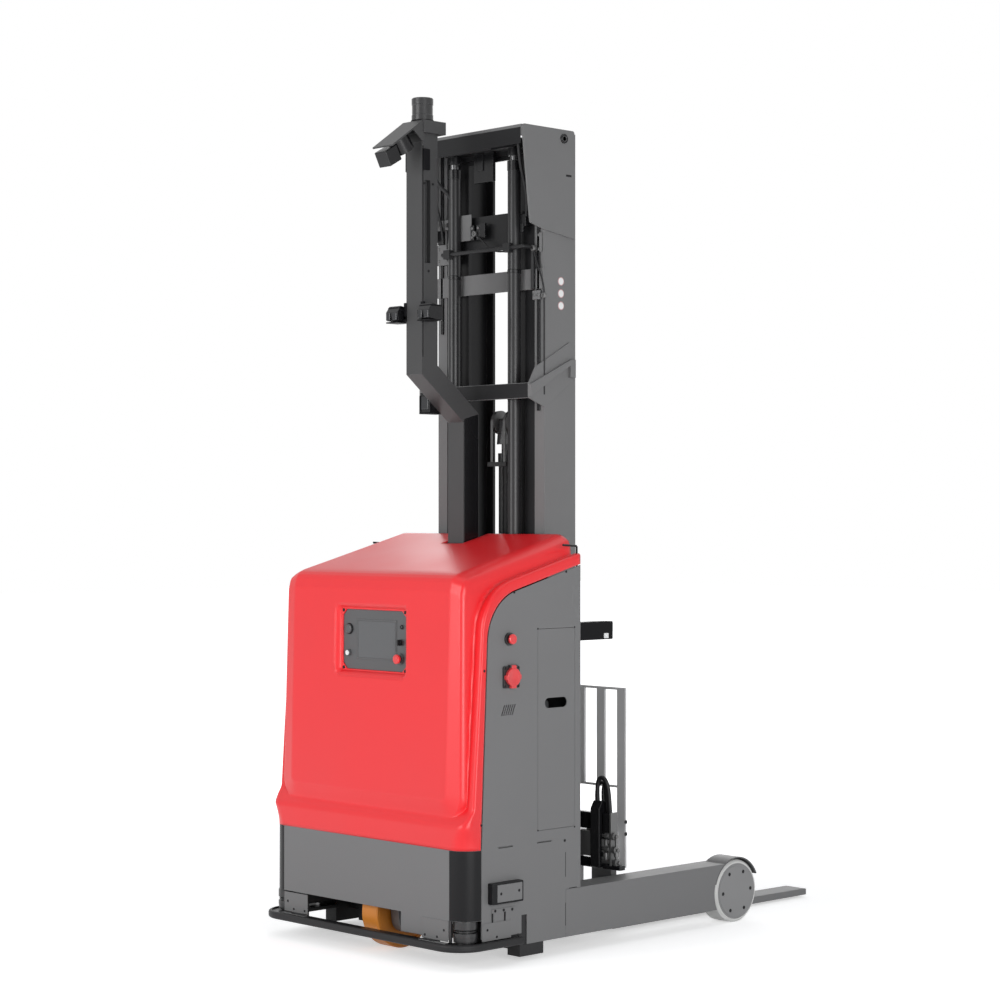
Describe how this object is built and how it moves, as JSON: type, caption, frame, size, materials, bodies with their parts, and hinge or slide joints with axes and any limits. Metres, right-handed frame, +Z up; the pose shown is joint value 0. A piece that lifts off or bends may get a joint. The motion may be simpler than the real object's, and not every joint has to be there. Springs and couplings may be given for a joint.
{
  "type": "driverless reach truck",
  "caption": "Driverless reach truck: boxy cabinet with operator panel, cranked sensor post, three-stage mast on straddle legs, side-shifting tilting forks and steered drive wheel.",
  "frame": {"origin": "centre of the footprint on the floor, midway between the front bumper and the fork tips", "axes": "+Z up, +Y towards the fork tips, +X to the right-hand side seen from the cabinet front looking along +Y"},
  "size_m": [1.33, 2.557, 3.695],
  "materials": {
    "body_red": "semi-gloss powder coat",
    "frame_black": "satin powder coat",
    "skirt_grey": "satin powder coat",
    "mast_black": "satin paint with grease film",
    "roller_steel": "ground and greased",
    "cylinder_black": "gloss paint",
    "rod_chrome": "hard chrome, polished",
    "chain_steel": "oiled leaf chain",
    "fork_steel": "satin black paint, worn tips",
    "wheel_hub": "satin painted disc",
    "wheel_tyre": "pale moulded polyurethane",
    "drive_tyre": "amber moulded polyurethane on a steel hub",
    "fender_grey": "satin paint",
    "rubber_black": "matt moulded rubber",
    "bumper_black": "satin paint",
    "scanner_black": "moulded housing with a dark window band",
    "sensor_black": "moulded housing and dark window",
    "lidar_black": "moulded housing and dark window",
    "camera_black": "moulded housing",
    "panel_grey": "textured operator panel",
    "estop_red": "moulded cap",
    "estop_collar": "moulded collar",
    "button_white": "moulded cap",
    "knob_black": "moulded knob",
    "socket_plastic": "moulded housing",
    "cap_red": "moulded lid",
    "contact_black": "moulded box",
    "battery_grey": "painted steel tray",
    "pump_grey": "painted tank and motor",
    "motor_black": "painted motor housing",
    "controller_alloy": "ribbed heat sink",
    "gear_steel": "machined and greased"
  },
  "bodies": {
    "chassis": {"chassis_frame": "frame_black", "right_side_panel": "skirt_grey", "left_side_panel": "skirt_grey", "right_leg": "skirt_grey", "left_leg": "skirt_grey", "front_cover": "body_red", "front_skirt": "skirt_grey", "bumper_plate": "bumper_black", "bumper_edge": "rubber_black", "corner_scanners": "scanner_black", "contact_box": "contact_black", "control_panel": "panel_grey", "estop_collars": "estop_collar", "charging_socket": "socket_plastic", "battery": "battery_grey", "hydraulic_unit": "pump_grey", "drive_controller": "controller_alloy", "steer_motor": "motor_black", "wheel_fenders": "fender_grey", "reach_cylinder": "cylinder_black", "sensor_post": "frame_black", "nav_lidar": "lidar_black", "post_sensors": "sensor_black"},
    "service_door": {"service_door": "skirt_grey"},
    "panel_estop": {"panel_estop": "estop_red"},
    "start_button": {"start_button": "button_white"},
    "mode_switch": {"mode_switch": "knob_black"},
    "right_estop": {"right_estop": "estop_red"},
    "left_estop": {"left_estop": "estop_red"},
    "socket_cap": {"socket_cap": "cap_red"},
    "drive_unit": {"drive_gearbox": "gear_steel", "traction_motor": "motor_black"},
    "drive_wheel": {"drive_wheel": "drive_tyre"},
    "steer_pinion": {"steer_pinion": "gear_steel"},
    "right_load_wheel": {"right_load_hub": "wheel_hub", "right_load_tyre": "wheel_tyre"},
    "left_load_wheel": {"left_load_hub": "wheel_hub", "left_load_tyre": "wheel_tyre"},
    "mast_base": {"reach_carriage": "mast_black", "outer_mast": "mast_black", "reach_rod": "rod_chrome", "lift_cylinders": "cylinder_black", "mast_cables": "rubber_black"},
    "front_reach_rollers": {"front_reach_rollers": "roller_steel"},
    "rear_reach_rollers": {"rear_reach_rollers": "roller_steel"},
    "mid_mast": {"mid_mast": "mast_black", "lift_rods": "rod_chrome"},
    "mid_rollers": {"mid_rollers": "roller_steel"},
    "inner_mast": {"inner_mast": "mast_black", "free_lift_cylinder": "cylinder_black"},
    "inner_rollers": {"inner_rollers": "roller_steel"},
    "free_lift_head": {"free_lift_head": "rod_chrome"},
    "chain_sheaves": {"chain_sheaves": "roller_steel"},
    "lift_chains": {"lift_chains": "chain_steel"},
    "fork_carriage": {"fork_carriage": "mast_black", "camera_box": "camera_black"},
    "carriage_rollers": {"carriage_rollers": "roller_steel"},
    "side_shift": {"side_shift_frame": "mast_black"},
    "fork_frame": {"fork_frame": "mast_black", "forks": "fork_steel"}
  },
  "joints": [
    {"name": "door_swing", "type": "hinge", "parent": "chassis", "child": "service_door", "pos_m": [0.6325, -0.794, 0.96], "axis": [0, 0, -1], "range_deg": [0, 100]},
    {"name": "right_estop_press", "type": "slide", "parent": "chassis", "child": "right_estop", "axis": [-1, 0, 0], "range_m": [0, 0.005], "stiffness_N_per_m": 900, "springref_m": -0.004},
    {"name": "left_estop_press", "type": "slide", "parent": "chassis", "child": "left_estop", "axis": [1, 0, 0], "range_m": [0, 0.005], "stiffness_N_per_m": 900, "springref_m": -0.004},
    {"name": "panel_estop_press", "type": "slide", "parent": "chassis", "child": "panel_estop", "axis": [0, 1, 0], "range_m": [0, 0.005], "stiffness_N_per_m": 900, "springref_m": -0.004},
    {"name": "start_press", "type": "slide", "parent": "chassis", "child": "start_button", "axis": [0, 1, 0], "range_m": [0, 0.003], "stiffness_N_per_m": 600, "springref_m": -0.004},
    {"name": "mode_turn", "type": "hinge", "parent": "chassis", "child": "mode_switch", "pos_m": [0.187, -1.1715, 1.329], "axis": [0, 1, 0], "range_deg": [-45, 45]},
    {"name": "socket_cap_lift", "type": "hinge", "parent": "chassis", "child": "socket_cap", "pos_m": [0.651, -0.9575, 1.241], "axis": [0, -1, 0], "range_deg": [0, 100]},
    {"name": "steer", "type": "hinge", "parent": "chassis", "child": "drive_unit", "pos_m": [0, -1.0285, 0.4], "axis": [0, 0, 1], "range_deg": [-95, 95]},
    {"name": "steer_pinion_spin", "type": "hinge", "parent": "chassis", "child": "steer_pinion", "pos_m": [-0.15274, -0.87576, 0.5], "axis": [0, 0, 1], "range_deg": [-480, 480]},
    {"name": "drive_spin", "type": "hinge", "parent": "drive_unit", "child": "drive_wheel", "pos_m": [0, -1.0285, 0.16], "axis": [1, 0, 0], "continuous": true},
    {"name": "right_load_spin", "type": "hinge", "parent": "chassis", "child": "right_load_wheel", "pos_m": [0.58, 0.4925, 0.1425], "axis": [1, 0, 0], "continuous": true},
    {"name": "left_load_spin", "type": "hinge", "parent": "chassis", "child": "left_load_wheel", "pos_m": [-0.58, 0.4925, 0.1425], "axis": [1, 0, 0], "continuous": true},
    {"name": "mast_reach", "type": "slide", "parent": "chassis", "child": "mast_base", "axis": [0, 1, 0], "range_m": [0, 0.49]},
    {"name": "front_reach_roll", "type": "hinge", "parent": "mast_base", "child": "front_reach_rollers", "pos_m": [0.58, -0.4335, 0.175], "axis": [1, 0, 0], "range_deg": [-440, 0]},
    {"name": "rear_reach_roll", "type": "hinge", "parent": "mast_base", "child": "rear_reach_rollers", "pos_m": [0.58, -0.2835, 0.175], "axis": [1, 0, 0], "range_deg": [-440, 0]},
    {"name": "mid_lift", "type": "slide", "parent": "mast_base", "child": "mid_mast", "axis": [0, 0, 1], "range_m": [0, 2.6]},
    {"name": "mid_roll", "type": "hinge", "parent": "mid_mast", "child": "mid_rollers", "pos_m": [0.3, -0.371, 0.182], "axis": [1, 0, 0], "range_deg": [-10, 1900]},
    {"name": "inner_lift", "type": "slide", "parent": "mid_mast", "child": "inner_mast", "axis": [0, 0, 1], "range_m": [0, 2.6]},
    {"name": "inner_roll", "type": "hinge", "parent": "inner_mast", "child": "inner_rollers", "pos_m": [0.24, -0.371, 0.182], "axis": [1, 0, 0], "range_deg": [-10, 2000]},
    {"name": "fork_lift", "type": "slide", "parent": "inner_mast", "child": "fork_carriage", "axis": [0, 0, 1], "range_m": [0, 2.3]},
    {"name": "carriage_roll", "type": "hinge", "parent": "fork_carriage", "child": "carriage_rollers", "pos_m": [0.18, -0.367, 0.69], "axis": [1, 0, 0], "range_deg": [-10, 1950]},
    {"name": "free_lift", "type": "slide", "parent": "inner_mast", "child": "free_lift_head", "axis": [0, 0, 1], "range_m": [0, 1.15]},
    {"name": "sheave_spin", "type": "hinge", "parent": "free_lift_head", "child": "chain_sheaves", "pos_m": [0, -0.367, 2.29], "axis": [1, 0, 0], "range_deg": [-1400, 10]},
    {"name": "chain_run", "type": "slide", "parent": "inner_mast", "child": "lift_chains", "axis": [0, 0, 1], "range_m": [0, 1.15], "deforming": ["lift_chains"]},
    {"name": "side_shift", "type": "slide", "parent": "fork_carriage", "child": "side_shift", "axis": [1, 0, 0], "range_m": [-0.06, 0.06]},
    {"name": "fork_tilt", "type": "hinge", "parent": "side_shift", "child": "fork_frame", "pos_m": [0, -0.1765, 0.355], "axis": [1, 0, 0], "range_deg": [-2, 4]}
  ],
  "couplings": [
    {"joint": "steer_pinion_spin", "follows": "steer", "ratio": -5},
    {"joint": "front_reach_roll", "follows": "mast_reach", "rad_per_m": -15.456},
    {"joint": "rear_reach_roll", "follows": "mast_reach", "rad_per_m": -15.456},
    {"joint": "inner_lift", "follows": "mid_lift", "ratio": 1},
    {"joint": "mid_roll", "follows": "mid_lift", "rad_per_m": 12.626},
    {"joint": "inner_roll", "follows": "mid_lift", "rad_per_m": 13.123},
    {"joint": "carriage_roll", "follows": "fork_lift", "rad_per_m": 14.451},
    {"joint": "free_lift", "follows": "fork_lift", "ratio": 0.5},
    {"joint": "chain_run", "follows": "fork_lift", "ratio": 0.5},
    {"joint": "sheave_spin", "follows": "fork_lift", "rad_per_m": -10}
  ]
}
